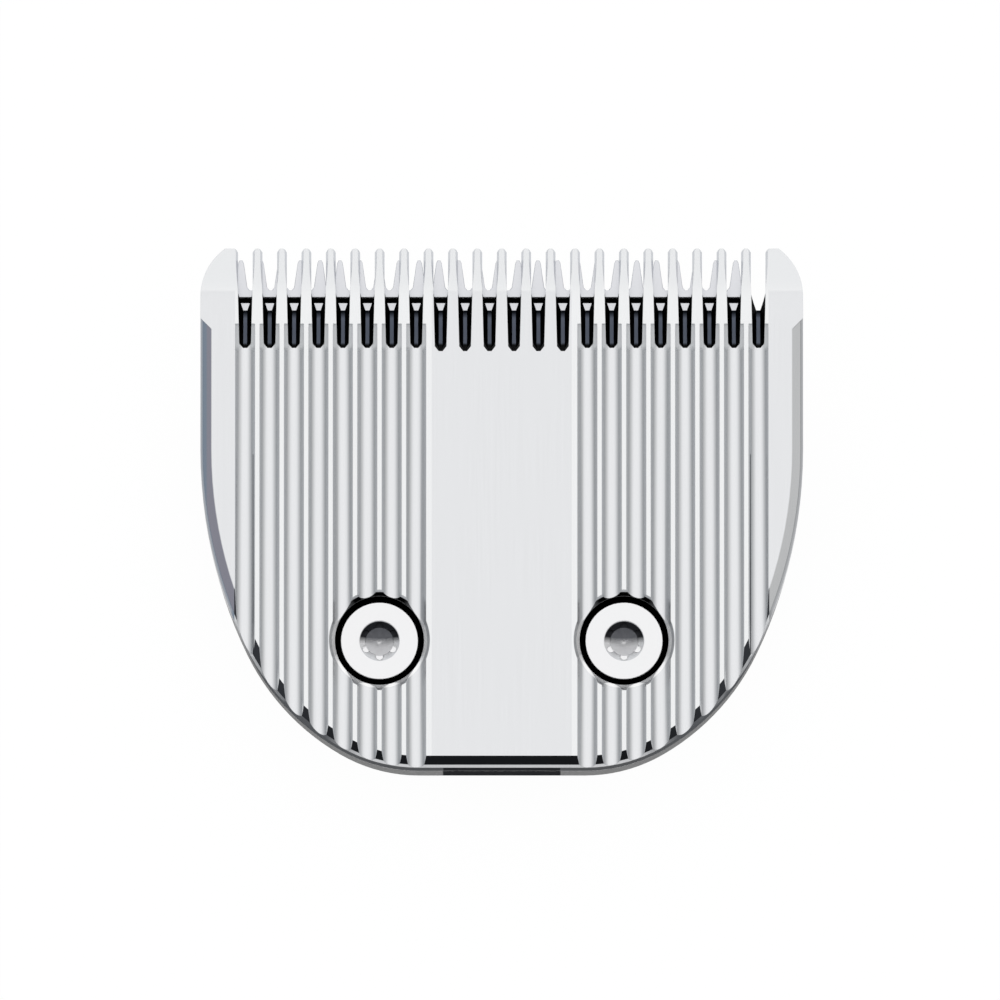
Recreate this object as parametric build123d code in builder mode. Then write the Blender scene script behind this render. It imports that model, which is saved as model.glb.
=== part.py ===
"""Hair clipper blade set: ribbed comb plate over a sliding toothed cutter on a moulded holder.

Frame: +X to the right, +Y towards the tooth tips, +Z up. The set lies on its holder, comb face up.
All sizes are in millimetres.
"""
from build123d import *
from math import acos, degrees, hypot, radians, sin, tan
import os

# Comb plate
plate_width = 46.0
plate_length = 40.0
plate_thickness = 3.0
rear_bend_radius = 12.0
rear_bend_angle = 30.0
corner_radius = 18.0
corner_angle = 34.2
flank_radius = 34.5
ear_shoulder_radius = 4.8
ear_tip_inset = 1.85
rim_face_width = 0.67
rim_face_drop = 0.19
rim_edge_width = 0.20
rim_edge_drop = 0.25
bevel_stop_from_tip = 6.0
face_slope_start = 6.4
face_slope_angle = 24.0
face_blend_radius = 9.0
rail_hollow_depth = 0.2
rail_hollow_front = 5.4
rail_hollow_length = 4.6

# Comb teeth: each slot is ground by a blunt-nosed wheel and opens out towards the tips
tooth_pitch = 1.866
slot_count = 22
panel_slots = 6
wheel_radius = 7.7
wheel_behind_tip = 1.55
wheel_rim_width = 0.3
wheel_nose_angle = 47.0
wheel_breakthrough = 0.65
slot_rear_width = 0.86
slot_front_width = 1.12
slot_length = 8.2
mouth_length = 3.1
mouth_low_width = 1.12
mouth_high_width = 1.98
tip_flare_length = 0.2
tip_flare_width = 0.24

# Flutes in the comb face, one behind each outer slot
flute_radius = 0.88
flute_depth = 0.44
flute_front = 6.0

# Screws
screw_ridge = 5
screw_from_rear = 9.74
head_diameter = 5.96
head_height = 1.25
head_sink = 0.70
head_edge = 0.06
shank_diameter = 2.6
shank_point = 0.3
screw_length = 4.9
recess_mouth_diameter = 3.1
recess_mouth_depth = 0.36
recess_lobe_span = 2.9
recess_lobe_radius = 0.28
recess_core_diameter = 2.16
recess_depth = 0.7
recess_point = 0.85
head_clearance = 0.42
hole_lead = 0.45
shank_clearance = 0.2
thread_clearance = 0.02
pilot_extra_depth = 0.3

# Moving cutter
cutter_pitch = 1.512
cutter_teeth = 26
cutter_depth = 12.35
cutter_thickness = 1.58
cutter_rest_offset = -1.02
cutter_set_back = 0.79
cutter_tooth_length = 2.31
cutter_tip_width = 0.42
cutter_nose_width = 0.2
cutter_nose_length = 0.22
cutter_gap_width = 0.56
cutter_root_width = 0.2
cutter_root_height = 0.22
cutter_end_margin = 0.70
cutter_tip_thickness = 0.62
cutter_grind_length = 3.75
relief_from_tip = 2.84
relief_width = 0.46
relief_depth = 0.5
running_gap = 0.02
cutter_stroke = 2.4

# Cutter carrier with its drive fork
carrier_length = 31.0
carrier_thickness = 1.5
carrier_front_gap = 6.15
carrier_corner = 1.2
stake_spacing = 22.0
stake_diameter = 3.0
stake_clearance = 0.02
stake_sink = 0.25
stake_from_front = 2.9
fork_width = 10.4
fork_slot_width = 5.0
fork_slot_length = 7.0
fork_reach = 10.1
fork_height = 2.9
fork_tip_radius = 1.0

# Moulded holder
holder_height = 5.0
holder_inset = 0.1
slide_clearance = 0.3
pocket_side_gap = 0.8
pocket_rear_room = 5.0
holder_wall = 1.5
holder_roof = 1.6
core_rib = 1.3
core_width = 4.2
core_count = 3
core_row_gap = 1.4
foot_edge = 0.35
corner_round = 1.5
catch_width = 8.9
catch_length = 2.4
catch_depth = 1.8

# Pressure spring, one bow stamped from spring strip
leaf_width = 1.8
leaf_thickness = 0.4
leaf_track = 25.2
leaf_bend = 3.0
leaf_from_rear = 5.4
groove_clearance = 0.1
spring_gap = 0.02

# Levels and places that follow from the sizes above
cut_over = 1.0
half_width = plate_width / 2
tip_y = plate_length / 2
rear_y = -plate_length / 2
underside = holder_height
land = underside + plate_thickness
slot_xs = [(i - (slot_count - 1) / 2) * tooth_pitch for i in range(slot_count)]
outer_slots = (slot_count - panel_slots) // 2
flute_xs = slot_xs[:outer_slots] + slot_xs[slot_count - outer_slots:]
screw_xs = [-screw_ridge * tooth_pitch, screw_ridge * tooth_pitch]
screw_y = rear_y + screw_from_rear
head_top = land - head_sink
head_seat = head_top - head_height
flank_angle = 90 - rear_bend_angle - corner_angle
bevel_stop = tip_y - bevel_stop_from_tip
rim_bevel = rim_face_width + rim_edge_width
rim_drop = rim_face_drop + rim_edge_drop
edge_bevel = rim_edge_width * rim_drop / rim_edge_drop
ear_turn = degrees(acos(1 - ear_tip_inset / ear_shoulder_radius))
ear_start = tip_y - ear_shoulder_radius * sin(radians(ear_turn))
cutter_top = underside - running_gap
cutter_bottom = cutter_top - cutter_thickness
cutter_tip_y = tip_y - cutter_set_back
cutter_rear = cutter_tip_y - cutter_depth
cutter_width = (cutter_teeth - 1) * cutter_pitch + 2 * cutter_end_margin
carrier_bottom = cutter_bottom - carrier_thickness
holder_front_y = cutter_rear - slide_clearance
carrier_front = cutter_tip_y - carrier_front_gap
fork_end = cutter_rear - fork_reach
leaf_top = carrier_bottom - spring_gap
leaf_rear_y = rear_y + leaf_from_rear


def rear_outline(inset, front):
    """Right half of the plan outline, from the rear middle round to the front line.

    Args:
        inset: distance kept inside the plate edge.
        front: Y of the line where the outline stops.
    """
    turns = [
        (rear_bend_radius - inset, rear_bend_angle),
        (corner_radius - inset, corner_angle),
        (flank_radius - inset, flank_angle),
    ]
    heading = 0.0
    flat = half_width - inset
    for radius, turn in turns:
        flat -= radius * (sin(radians(heading + turn)) - sin(radians(heading)))
        heading += turn
    edge = Line((0, rear_y + inset), (flat, rear_y + inset))
    for radius, turn in turns:
        edge = JernArc(edge @ 1, edge % 1, radius, turn)
    return Line(edge @ 1, (half_width - inset, front))


# One slot's grinding: a tapering slot whose floor is the wheel's ramp, with a mouth that widens to the tips
wheel_y = tip_y - wheel_behind_tip
wheel_low = underside - wheel_breakthrough
wheel_z = wheel_low + wheel_radius
mouth_y = tip_y - mouth_length
with BuildPart() as slot_tool:
    with BuildSketch(Plane.XY.offset(wheel_low)):
        with BuildLine():
            half = Polyline(
                (0, tip_y - slot_length),
                (slot_rear_width / 2, tip_y - slot_length),
                (slot_front_width / 2, mouth_y),
                (slot_front_width / 2, tip_y + cut_over),
                (0, tip_y + cut_over),
            )
            mirror(half, about=Plane.YZ)
        make_face()
    extrude(amount=land + cut_over - wheel_low)
    nose_height = (slot_front_width - wheel_rim_width) / 2 * tan(radians(wheel_nose_angle))
    with BuildSketch(Plane.XZ.offset(-wheel_y)):
        with BuildLine():
            half = Polyline(
                (0, wheel_low),
                (wheel_rim_width / 2, wheel_low),
                (slot_front_width / 2, wheel_low + nose_height),
                (slot_front_width / 2, wheel_z),
                (0, wheel_z),
            )
            mirror(half, about=Plane.YZ)
        make_face()
    revolve(axis=Axis((0, wheel_y, wheel_z), (1, 0, 0)), mode=Mode.INTERSECT)
    sections = [
        (mouth_y, slot_front_width, slot_front_width),
        (tip_y - tip_flare_length, mouth_low_width, mouth_high_width),
        (tip_y, mouth_low_width + tip_flare_width, mouth_high_width + tip_flare_width),
    ]
    for near, far in zip(sections, sections[1:]):
        for y, low, high in (near, far):
            with BuildSketch(Plane((0, y, underside), x_dir=(1, 0, 0), z_dir=(0, -1, 0))):
                with BuildLine():
                    Polyline(
                        (-low / 2, 0),
                        (low / 2, 0),
                        (high / 2, plate_thickness),
                        (-high / 2, plate_thickness),
                        close=True,
                    )
                make_face()
        loft()

with BuildPart() as comb_plate:
    # Rear body with its rim ground to two facets
    with BuildSketch(Plane.XY.offset(underside)):
        with BuildLine():
            side = rear_outline(0, bevel_stop + rim_bevel / 2)
            Line(side @ 1, (0, (side @ 1).Y))
            mirror(about=Plane.YZ)
        make_face()
    extrude(amount=plate_thickness)
    face_run = hypot(edge_bevel - rim_edge_width, rim_face_drop)
    for across, down in ((edge_bevel, rim_drop), (rim_bevel - edge_bevel, face_run)):
        top_face = comb_plate.faces().sort_by(Axis.Z)[-1]
        rim = top_face.edges().sort_by(Axis.Y)[:-1]
        chamfer(rim, length=across, length2=down, reference=top_face)
    # Front body with the two ears; the rim bevel stops against it
    with BuildSketch(Plane.XY.offset(underside)):
        with BuildLine():
            stop_rear = bevel_stop - rim_bevel / 2
            start = Line((0, stop_rear), (half_width - rim_bevel, stop_rear))
            stop = Line(start @ 1, (half_width, stop_rear + rim_bevel))
            flank = Line(stop @ 1, (half_width, ear_start))
            shoulder = JernArc(flank @ 1, flank % 1, ear_shoulder_radius, ear_turn)
            Line(shoulder @ 1, (0, tip_y))
            mirror(about=Plane.YZ)
        make_face()
    extrude(amount=plate_thickness)
    # Top face falling away to the tips
    with BuildSketch(Plane.YZ):
        with BuildLine():
            blend = JernArc((tip_y - face_slope_start, land), (1, 0), face_blend_radius, -face_slope_angle)
            past_tip = tip_y + cut_over
            fall = tan(radians(face_slope_angle)) * (past_tip - (blend @ 1).X)
            drop = Line(blend @ 1, (past_tip, (blend @ 1).Y - fall))
            above = land + cut_over
            Polyline(drop @ 1, (past_tip, above), (tip_y - face_slope_start, above), blend @ 0)
        make_face()
    extrude(amount=plate_width, both=True, mode=Mode.SUBTRACT)
    # Flutes
    with BuildSketch(Plane.XZ.offset(-(tip_y - flute_front))):
        with Locations([(x, land - flute_depth + flute_radius) for x in flute_xs]):
            Circle(flute_radius)
    extrude(amount=plate_length, mode=Mode.SUBTRACT)
    # Slots
    with Locations([(x, 0, 0) for x in slot_xs]):
        add(slot_tool.part, mode=Mode.SUBTRACT)
    # Screw seats
    for x in screw_xs:
        with BuildSketch(Plane((x, screw_y, 0), x_dir=(1, 0, 0), z_dir=(0, -1, 0))):
            bore = (shank_diameter + shank_clearance) / 2
            seat = head_diameter / 2 + head_clearance
            with BuildLine():
                Polyline(
                    (0, underside),
                    (bore, underside),
                    (bore, head_seat),
                    (seat, head_seat),
                    (seat, land - hole_lead),
                    (seat + hole_lead, land),
                    (0, land),
                    close=True,
                )
            make_face()
        revolve(axis=Axis((x, screw_y, 0), (0, 0, 1)), mode=Mode.SUBTRACT)
    # Hollow-ground strip between the two rails of the underside
    with BuildSketch(Plane.XY.offset(underside)):
        with Locations((0, tip_y - rail_hollow_front - rail_hollow_length / 2)):
            Rectangle(cutter_width + cutter_stroke, rail_hollow_length)
    extrude(amount=rail_hollow_depth, mode=Mode.SUBTRACT)

with BuildPart() as moving_cutter:
    with BuildSketch(Plane.XY.offset(cutter_bottom)):
        with Locations((cutter_rest_offset, cutter_tip_y - cutter_depth / 2)):
            Rectangle(cutter_width, cutter_depth)
    extrude(amount=cutter_thickness)
    # Underside ground thin towards the tips
    with BuildSketch(Plane.YZ):
        with BuildLine():
            Polyline(
                (cutter_tip_y - cutter_grind_length, cutter_bottom),
                (cutter_tip_y, cutter_top - cutter_tip_thickness),
                (cutter_tip_y, cutter_bottom),
                close=True,
            )
        make_face()
    extrude(amount=plate_width, both=True, mode=Mode.SUBTRACT)
    # Tooth gaps
    root_y = cutter_tip_y - cutter_tooth_length
    gap_steps = [
        (cutter_root_width, root_y),
        (cutter_gap_width, root_y + cutter_root_height),
        (cutter_pitch - cutter_tip_width, cutter_tip_y - cutter_nose_length),
        (cutter_pitch - cutter_nose_width, cutter_tip_y),
    ]
    right_side = [(width / 2, y) for width, y in gap_steps]
    left_side = [(-x, y) for x, y in reversed(right_side)]
    with BuildSketch(Plane.XY.offset(cutter_bottom)):
        with Locations((cutter_rest_offset, 0)):
            with GridLocations(cutter_pitch, 0, cutter_teeth + 1, 1):
                Polygon(*right_side, *left_side, align=None)
    extrude(amount=cutter_thickness, mode=Mode.SUBTRACT)
    # Relief groove behind the toothed rail
    with BuildSketch(Plane.XY.offset(cutter_top)):
        with Locations((cutter_rest_offset, cutter_tip_y - relief_from_tip - relief_width / 2)):
            Rectangle(cutter_width, relief_width)
    extrude(amount=-relief_depth, mode=Mode.SUBTRACT)
    # Stake holes
    with Locations((cutter_rest_offset, carrier_front - stake_from_front, cutter_top)):
        with GridLocations(stake_spacing, 0, 2, 1):
            Hole(stake_diameter / 2 + stake_clearance)

with BuildPart() as cutter_carrier:
    # Bar under the cutter
    bar_depth = carrier_front - cutter_rear
    with BuildSketch(Plane.XY.offset(carrier_bottom)):
        with Locations((cutter_rest_offset, carrier_front - bar_depth / 2)):
            RectangleRounded(carrier_length, bar_depth, carrier_corner)
    extrude(amount=carrier_thickness)
    # Fork that the clipper's eccentric drives
    with BuildSketch(Plane.XY.offset(cutter_bottom)) as fork:
        with Locations((cutter_rest_offset, (fork_end + carrier_front) / 2)):
            Rectangle(fork_width, carrier_front - fork_end)
        with Locations((cutter_rest_offset, fork_end + fork_slot_length / 2)):
            Rectangle(fork_slot_width, fork_slot_length, mode=Mode.SUBTRACT)
        with Locations((cutter_rest_offset, fork_end + fork_slot_length)):
            Circle(fork_slot_width / 2, mode=Mode.SUBTRACT)
        fillet(fork.vertices().group_by(Axis.Y)[0], fork_tip_radius)
    extrude(amount=-fork_height)
    # Stakes through the cutter
    with BuildSketch(Plane.XY.offset(cutter_bottom)):
        with Locations((cutter_rest_offset, carrier_front - stake_from_front)):
            with GridLocations(stake_spacing, 0, 2, 1):
                Circle(stake_diameter / 2)
    extrude(amount=cutter_thickness - stake_sink)

with BuildPart() as blade_holder:
    with BuildSketch():
        with BuildLine():
            side = rear_outline(holder_inset, tip_y)
            Line(side @ 1, (0, tip_y))
            mirror(about=Plane.YZ)
        make_face()
        with Locations((0, (rear_y + holder_front_y) / 2)):
            Rectangle(plate_width, holder_front_y - rear_y, mode=Mode.INTERSECT)
    extrude(amount=holder_height)
    fillet(blade_holder.edges().filter_by(Axis.Z).group_by(Axis.Y)[-1], corner_round)
    chamfer(blade_holder.faces().sort_by(Axis.Z)[0].edges(), foot_edge)
    # Pocket for the fork, open below and to the front
    pocket_half = fork_width / 2 + cutter_stroke / 2 + pocket_side_gap
    pocket_rear = fork_end - pocket_rear_room
    with BuildSketch():
        with Locations((0, (pocket_rear + holder_front_y) / 2)):
            Rectangle(2 * pocket_half, holder_front_y - pocket_rear)
    extrude(amount=holder_height, mode=Mode.SUBTRACT)
    # Coring slots from below, on both sides of the pocket
    core_front = holder_front_y - holder_wall
    core_start = leaf_track / 2 + leaf_width / 2 + groove_clearance + core_rib
    with BuildSketch():
        for i in range(core_count):
            core_y = core_front - core_width / 2 - i * (core_width + core_row_gap)
            core_end = half_width - holder_wall - i * core_rib
            for sign in (-1, 1):
                with Locations((sign * (core_start + core_end) / 2, core_y)):
                    Rectangle(core_end - core_start, core_width)
    extrude(amount=holder_height - holder_roof, mode=Mode.SUBTRACT)
    # Groove that holds the spring
    with BuildSketch():
        with BuildLine():
            FilletPolyline(
                (-leaf_track / 2, holder_front_y + leaf_width),
                (-leaf_track / 2, leaf_rear_y),
                (leaf_track / 2, leaf_rear_y),
                (leaf_track / 2, holder_front_y + leaf_width),
                radius=leaf_bend,
            )
            offset(amount=leaf_width / 2 + groove_clearance)
        make_face()
    extrude(amount=leaf_top, mode=Mode.SUBTRACT)
    # Catch recess for the clipper head
    with BuildSketch():
        with Locations((0, rear_y + holder_inset + holder_wall + catch_length / 2)):
            Rectangle(catch_width, catch_length)
    extrude(amount=catch_depth, mode=Mode.SUBTRACT)
    # Screw pilots
    pilot_depth = holder_height - head_seat + screw_length + pilot_extra_depth
    with Locations([(x, screw_y, holder_height) for x in screw_xs]):
        Hole(shank_diameter / 2 + thread_clearance, depth=pilot_depth)

with BuildPart() as pressure_spring:
    leaf_tip = carrier_front - stake_from_front
    with BuildSketch(Plane.XY.offset(leaf_top)):
        with BuildLine():
            FilletPolyline(
                (-leaf_track / 2, leaf_tip),
                (-leaf_track / 2, leaf_rear_y),
                (leaf_track / 2, leaf_rear_y),
                (leaf_track / 2, leaf_tip),
                radius=leaf_bend,
            )
            offset(amount=leaf_width / 2)
        make_face()
    extrude(amount=-leaf_thickness)


def make_screw(x):
    """Flat-headed hexalobular screw on the ridge at x.

    Args:
        x: X of the screw axis.
    """
    with BuildPart() as screw:
        with BuildSketch(Plane((x, screw_y, 0), x_dir=(1, 0, 0), z_dir=(0, -1, 0))):
            shank_end = head_seat - screw_length
            with BuildLine():
                Polyline(
                    (0, head_top),
                    (head_diameter / 2 - head_edge, head_top),
                    (head_diameter / 2, head_top - head_edge),
                    (head_diameter / 2, head_seat),
                    (shank_diameter / 2, head_seat),
                    (shank_diameter / 2, shank_end + shank_point),
                    (shank_diameter / 2 - shank_point, shank_end),
                    (0, shank_end),
                    close=True,
                )
            make_face()
        revolve(axis=Axis((x, screw_y, 0), (0, 0, 1)))
        with BuildSketch(Plane((x, screw_y, 0), x_dir=(1, 0, 0), z_dir=(0, -1, 0))):
            with BuildLine():
                Polyline(
                    (0, head_top),
                    (recess_mouth_diameter / 2, head_top),
                    (recess_core_diameter / 2, head_top - recess_mouth_depth),
                    (0, head_top - recess_mouth_depth),
                    close=True,
                )
            make_face()
        revolve(axis=Axis((x, screw_y, 0), (0, 0, 1)), mode=Mode.SUBTRACT)
        with BuildSketch(Plane((x, screw_y, head_top))):
            Circle(recess_core_diameter / 2)
            with PolarLocations(recess_lobe_span / 2 - recess_lobe_radius, 6, start_angle=30):
                Circle(recess_lobe_radius)
        extrude(amount=-recess_depth, mode=Mode.SUBTRACT)
        with BuildSketch(Plane((x, screw_y, 0), x_dir=(1, 0, 0), z_dir=(0, -1, 0))):
            floor = head_top - recess_depth
            with BuildLine():
                Polyline((0, floor), (recess_core_diameter / 2, floor), (0, floor - recess_point), close=True)
            make_face()
        revolve(axis=Axis((x, screw_y, 0), (0, 0, 1)), mode=Mode.SUBTRACT)
    return screw


comb_screw_left = make_screw(screw_xs[0])
comb_screw_right = make_screw(screw_xs[1])

os.makedirs("parts", exist_ok=True)
comb_plate.part.label = "comb_plate"
moving_cutter.part.label = "moving_cutter"
cutter_carrier.part.label = "cutter_carrier"
blade_holder.part.label = "blade_holder"
pressure_spring.part.label = "pressure_spring"
comb_screw_left.part.label = "comb_screw_left"
comb_screw_right.part.label = "comb_screw_right"
export_step(comb_plate.part, "parts/comb_plate.step")
export_step(moving_cutter.part, "parts/moving_cutter.step")
export_step(cutter_carrier.part, "parts/cutter_carrier.step")
export_step(blade_holder.part, "parts/blade_holder.step")
export_step(pressure_spring.part, "parts/pressure_spring.step")
export_step(comb_screw_left.part, "parts/comb_screw_left.step")
export_step(comb_screw_right.part, "parts/comb_screw_right.step")
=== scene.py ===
"""Hair clipper blade set on a white table, seen from above and slightly from behind.

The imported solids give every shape. This script shades their curved faces smooth, dresses each
piece in the material it is made of, adds the screw threads, and lights the set as a small
product shot.
"""
import logging
from dataclasses import dataclass
from enum import Enum
from math import cos, pi, radians, sin
from typing import Any, Sequence

import bpy
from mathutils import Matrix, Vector


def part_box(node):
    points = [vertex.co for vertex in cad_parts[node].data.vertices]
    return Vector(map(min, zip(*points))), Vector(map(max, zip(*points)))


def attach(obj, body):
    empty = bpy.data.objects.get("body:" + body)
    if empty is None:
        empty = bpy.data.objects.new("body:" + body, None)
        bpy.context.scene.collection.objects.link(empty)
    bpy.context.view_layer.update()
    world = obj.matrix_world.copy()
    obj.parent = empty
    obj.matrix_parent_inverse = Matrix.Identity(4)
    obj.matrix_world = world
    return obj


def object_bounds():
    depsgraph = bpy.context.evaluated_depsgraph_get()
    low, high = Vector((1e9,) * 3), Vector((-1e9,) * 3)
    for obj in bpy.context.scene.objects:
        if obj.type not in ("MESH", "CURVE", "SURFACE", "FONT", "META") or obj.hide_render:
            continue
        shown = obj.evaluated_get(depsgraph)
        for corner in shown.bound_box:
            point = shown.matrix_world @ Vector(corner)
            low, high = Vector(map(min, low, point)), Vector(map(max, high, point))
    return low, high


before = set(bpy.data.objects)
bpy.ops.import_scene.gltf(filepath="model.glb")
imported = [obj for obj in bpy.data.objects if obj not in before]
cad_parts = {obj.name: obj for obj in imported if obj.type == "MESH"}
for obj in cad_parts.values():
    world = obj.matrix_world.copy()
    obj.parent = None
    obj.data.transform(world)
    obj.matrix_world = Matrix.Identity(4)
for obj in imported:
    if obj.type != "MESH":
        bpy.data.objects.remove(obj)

log = logging.getLogger("blade_set")
cad_low, cad_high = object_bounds()

Colour = tuple[float, float, float, float]
Span = tuple[float, float]

MM = 0.001
FAR = 1.0  # metres, past anything on the set
CLEAR = 1.0 * MM  # how far a zone's box reaches past its piece
SCREWS = ("comb_screw_left", "comb_screw_right")


class Grain(Enum):
    """Which way the marks of the grinding stone run."""

    ALONG = "along"
    ACROSS = "across"
    NONE = "none"


class Facing(Enum):
    """Which faces inside a zone take its coat.

    RIMWARD and EDGEWARD are the rim's facets, which lean only a little to the rear or sideways.
    """

    ANY = "any"
    SIDEWAYS = "sideways"
    REARWARD = "rearward"
    FORWARD = "forward"
    RIMWARD = "rimward"
    EDGEWARD = "edgeward"


# How much of a face's normal points the named way where a coat begins, and where it is full.
WALL_LEAN: Span = (0.3, 0.6)
FACET_LEAN: dict[Facing, Span] = {Facing.RIMWARD: (0.03, 0.09), Facing.EDGEWARD: (0.08, 0.16)}


def srgb(code: str) -> Colour:
    """Turns an sRGB hex colour into linear values.

    Args:
        code: six hex digits, with or without a hash sign.

    Returns:
        Linear red, green and blue, and full opacity.
    """
    digits = code.lstrip("#")
    values = [int(digits[i:i + 2], 16) / 255 for i in (0, 2, 4)]
    linear = [v / 12.92 if v <= 0.04045 else ((v + 0.055) / 1.055) ** 2.4 for v in values]
    return (linear[0], linear[1], linear[2], 1.0)


def add_node(tree: bpy.types.NodeTree, kind: str, settings: dict[str, Any] | None = None,
             inputs: dict[Any, Any] | None = None) -> bpy.types.Node:
    """Adds one node with its settings, socket values and links.

    Args:
        tree: node tree that gets the node.
        kind: the node's type name.
        settings: attributes of the node.
        inputs: input name or index to a value, or to an output socket to link from.

    Returns:
        The new node.
    """
    node = tree.nodes.new(kind)
    for name, value in (settings or {}).items():
        setattr(node, name, value)
    for name, value in (inputs or {}).items():
        if isinstance(value, bpy.types.NodeSocket):
            tree.links.new(value, node.inputs[name])
        else:
            node.inputs[name].default_value = value
    return node


def facing_mask(tree: bpy.types.NodeTree, place: bpy.types.Node, facing: Facing) -> bpy.types.NodeSocket:
    """Finds the faces that look one way.

    Args:
        tree: the material's tree.
        place: its texture coordinates.
        facing: the way they look, not ANY.

    Returns:
        A socket that is 1 on those faces and falls to 0 on the others.
    """
    normal = add_node(tree, "ShaderNodeSeparateXYZ", None, {0: place.outputs["Normal"]})
    if facing in (Facing.SIDEWAYS, Facing.EDGEWARD):
        turned = add_node(tree, "ShaderNodeMath", {"operation": "ABSOLUTE"}, {0: normal.outputs[0]})
    else:
        way = 1.0 if facing is Facing.FORWARD else -1.0
        turned = add_node(tree, "ShaderNodeMath", {"operation": "MULTIPLY"}, {
            0: normal.outputs[1], 1: way})
    start, full = FACET_LEAN.get(facing, WALL_LEAN)
    wall = add_node(tree, "ShaderNodeMapRange", None, {
        "Value": turned.outputs[0], "From Min": start, "From Max": full})
    return wall.outputs[0]


@dataclass(frozen=True)
class Coat:
    """What one zone of a piece shows: a duller grind, a matt skin, painted shade, a painted highlight or a
    painted reflection.
    """

    colour: str
    roughness: float
    matt: bool = False


@dataclass(frozen=True)
class BoxZone:
    """A zone of a piece that lies inside a box."""

    low: tuple[float, float, float]
    high: tuple[float, float, float]
    coat: Coat
    facing: Facing = Facing.ANY
    fade: float = 0.08 * MM

    def mask(self, tree: bpy.types.NodeTree, place: bpy.types.Node) -> bpy.types.NodeSocket:
        """Finds the zone's faces.

        Args:
            tree: the material's tree.
            place: its texture coordinates.

        Returns:
            A socket that is 1 inside the box and falls to 0 just outside it.
        """
        low, high = Vector(self.low), Vector(self.high)
        offset = add_node(tree, "ShaderNodeVectorMath", {"operation": "SUBTRACT"}, {
            0: place.outputs["Object"], 1: tuple((low + high) / 2)})
        reach = add_node(tree, "ShaderNodeVectorMath", {"operation": "ABSOLUTE"}, {0: offset.outputs[0]})
        past = add_node(tree, "ShaderNodeVectorMath", {"operation": "SUBTRACT"}, {
            0: reach.outputs[0], 1: tuple((high - low) / 2)})
        sides = add_node(tree, "ShaderNodeSeparateXYZ", None, {0: past.outputs[0]})
        plan = add_node(tree, "ShaderNodeMath", {"operation": "MAXIMUM"}, {
            0: sides.outputs[0], 1: sides.outputs[1]})
        worst = add_node(tree, "ShaderNodeMath", {"operation": "MAXIMUM"}, {
            0: plan.outputs[0], 1: sides.outputs[2]})
        inside = add_node(tree, "ShaderNodeMapRange", None, {
            "Value": worst.outputs[0], "From Min": self.fade, "From Max": 0.0})
        if self.facing is Facing.ANY:
            return inside.outputs[0]
        both = add_node(tree, "ShaderNodeMath", {"operation": "MULTIPLY"}, {
            0: inside.outputs[0], 1: facing_mask(tree, place, self.facing)})
        return both.outputs[0]


@dataclass(frozen=True)
class RingZone:
    """A zone in a ring round a screw's axis, or in a slice of that ring."""

    centre: Span
    inner: float
    outer: float
    top: float
    coat: Coat
    bottom: float = -FAR
    rear: float = -FAR
    front: float = FAR
    facing: Facing = Facing.ANY
    fade: float = 0.04 * MM
    slice_fade: float = 0.04 * MM

    def mask(self, tree: bpy.types.NodeTree, place: bpy.types.Node) -> bpy.types.NodeSocket:
        """Finds the zone's faces.

        Args:
            tree: the material's tree.
            place: its texture coordinates.

        Returns:
            A socket that is 1 in the ring between its limits and falls to 0 just outside them.
        """
        offset = add_node(tree, "ShaderNodeVectorMath", {"operation": "SUBTRACT"}, {
            0: place.outputs["Object"], 1: (*self.centre, 0.0)})
        axes = add_node(tree, "ShaderNodeSeparateXYZ", None, {0: offset.outputs[0]})
        flat = add_node(tree, "ShaderNodeVectorMath", {"operation": "MULTIPLY"}, {
            0: offset.outputs[0], 1: (1.0, 1.0, 0.0)})
        radius = add_node(tree, "ShaderNodeVectorMath", {"operation": "LENGTH"}, {0: flat.outputs[0]})
        inside: Any = 1.0 if self.facing is Facing.ANY else facing_mask(tree, place, self.facing)
        for value, outside, limit in (
                (radius.outputs["Value"], self.outer + self.fade, self.outer),
                (radius.outputs["Value"], self.inner - self.fade, self.inner),
                (axes.outputs[2], self.top + self.fade, self.top),
                (axes.outputs[2], self.bottom - self.fade, self.bottom),
                (axes.outputs[1], self.front + self.slice_fade, self.front),
                (axes.outputs[1], self.rear - self.slice_fade, self.rear)):
            side = add_node(tree, "ShaderNodeMapRange", None, {
                "Value": value, "From Min": outside, "From Max": limit})
            both = add_node(tree, "ShaderNodeMath", {"operation": "MULTIPLY"}, {
                0: inside, 1: side.outputs[0]})
            inside = both.outputs[0]
        return inside


Zone = BoxZone | RingZone


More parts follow.
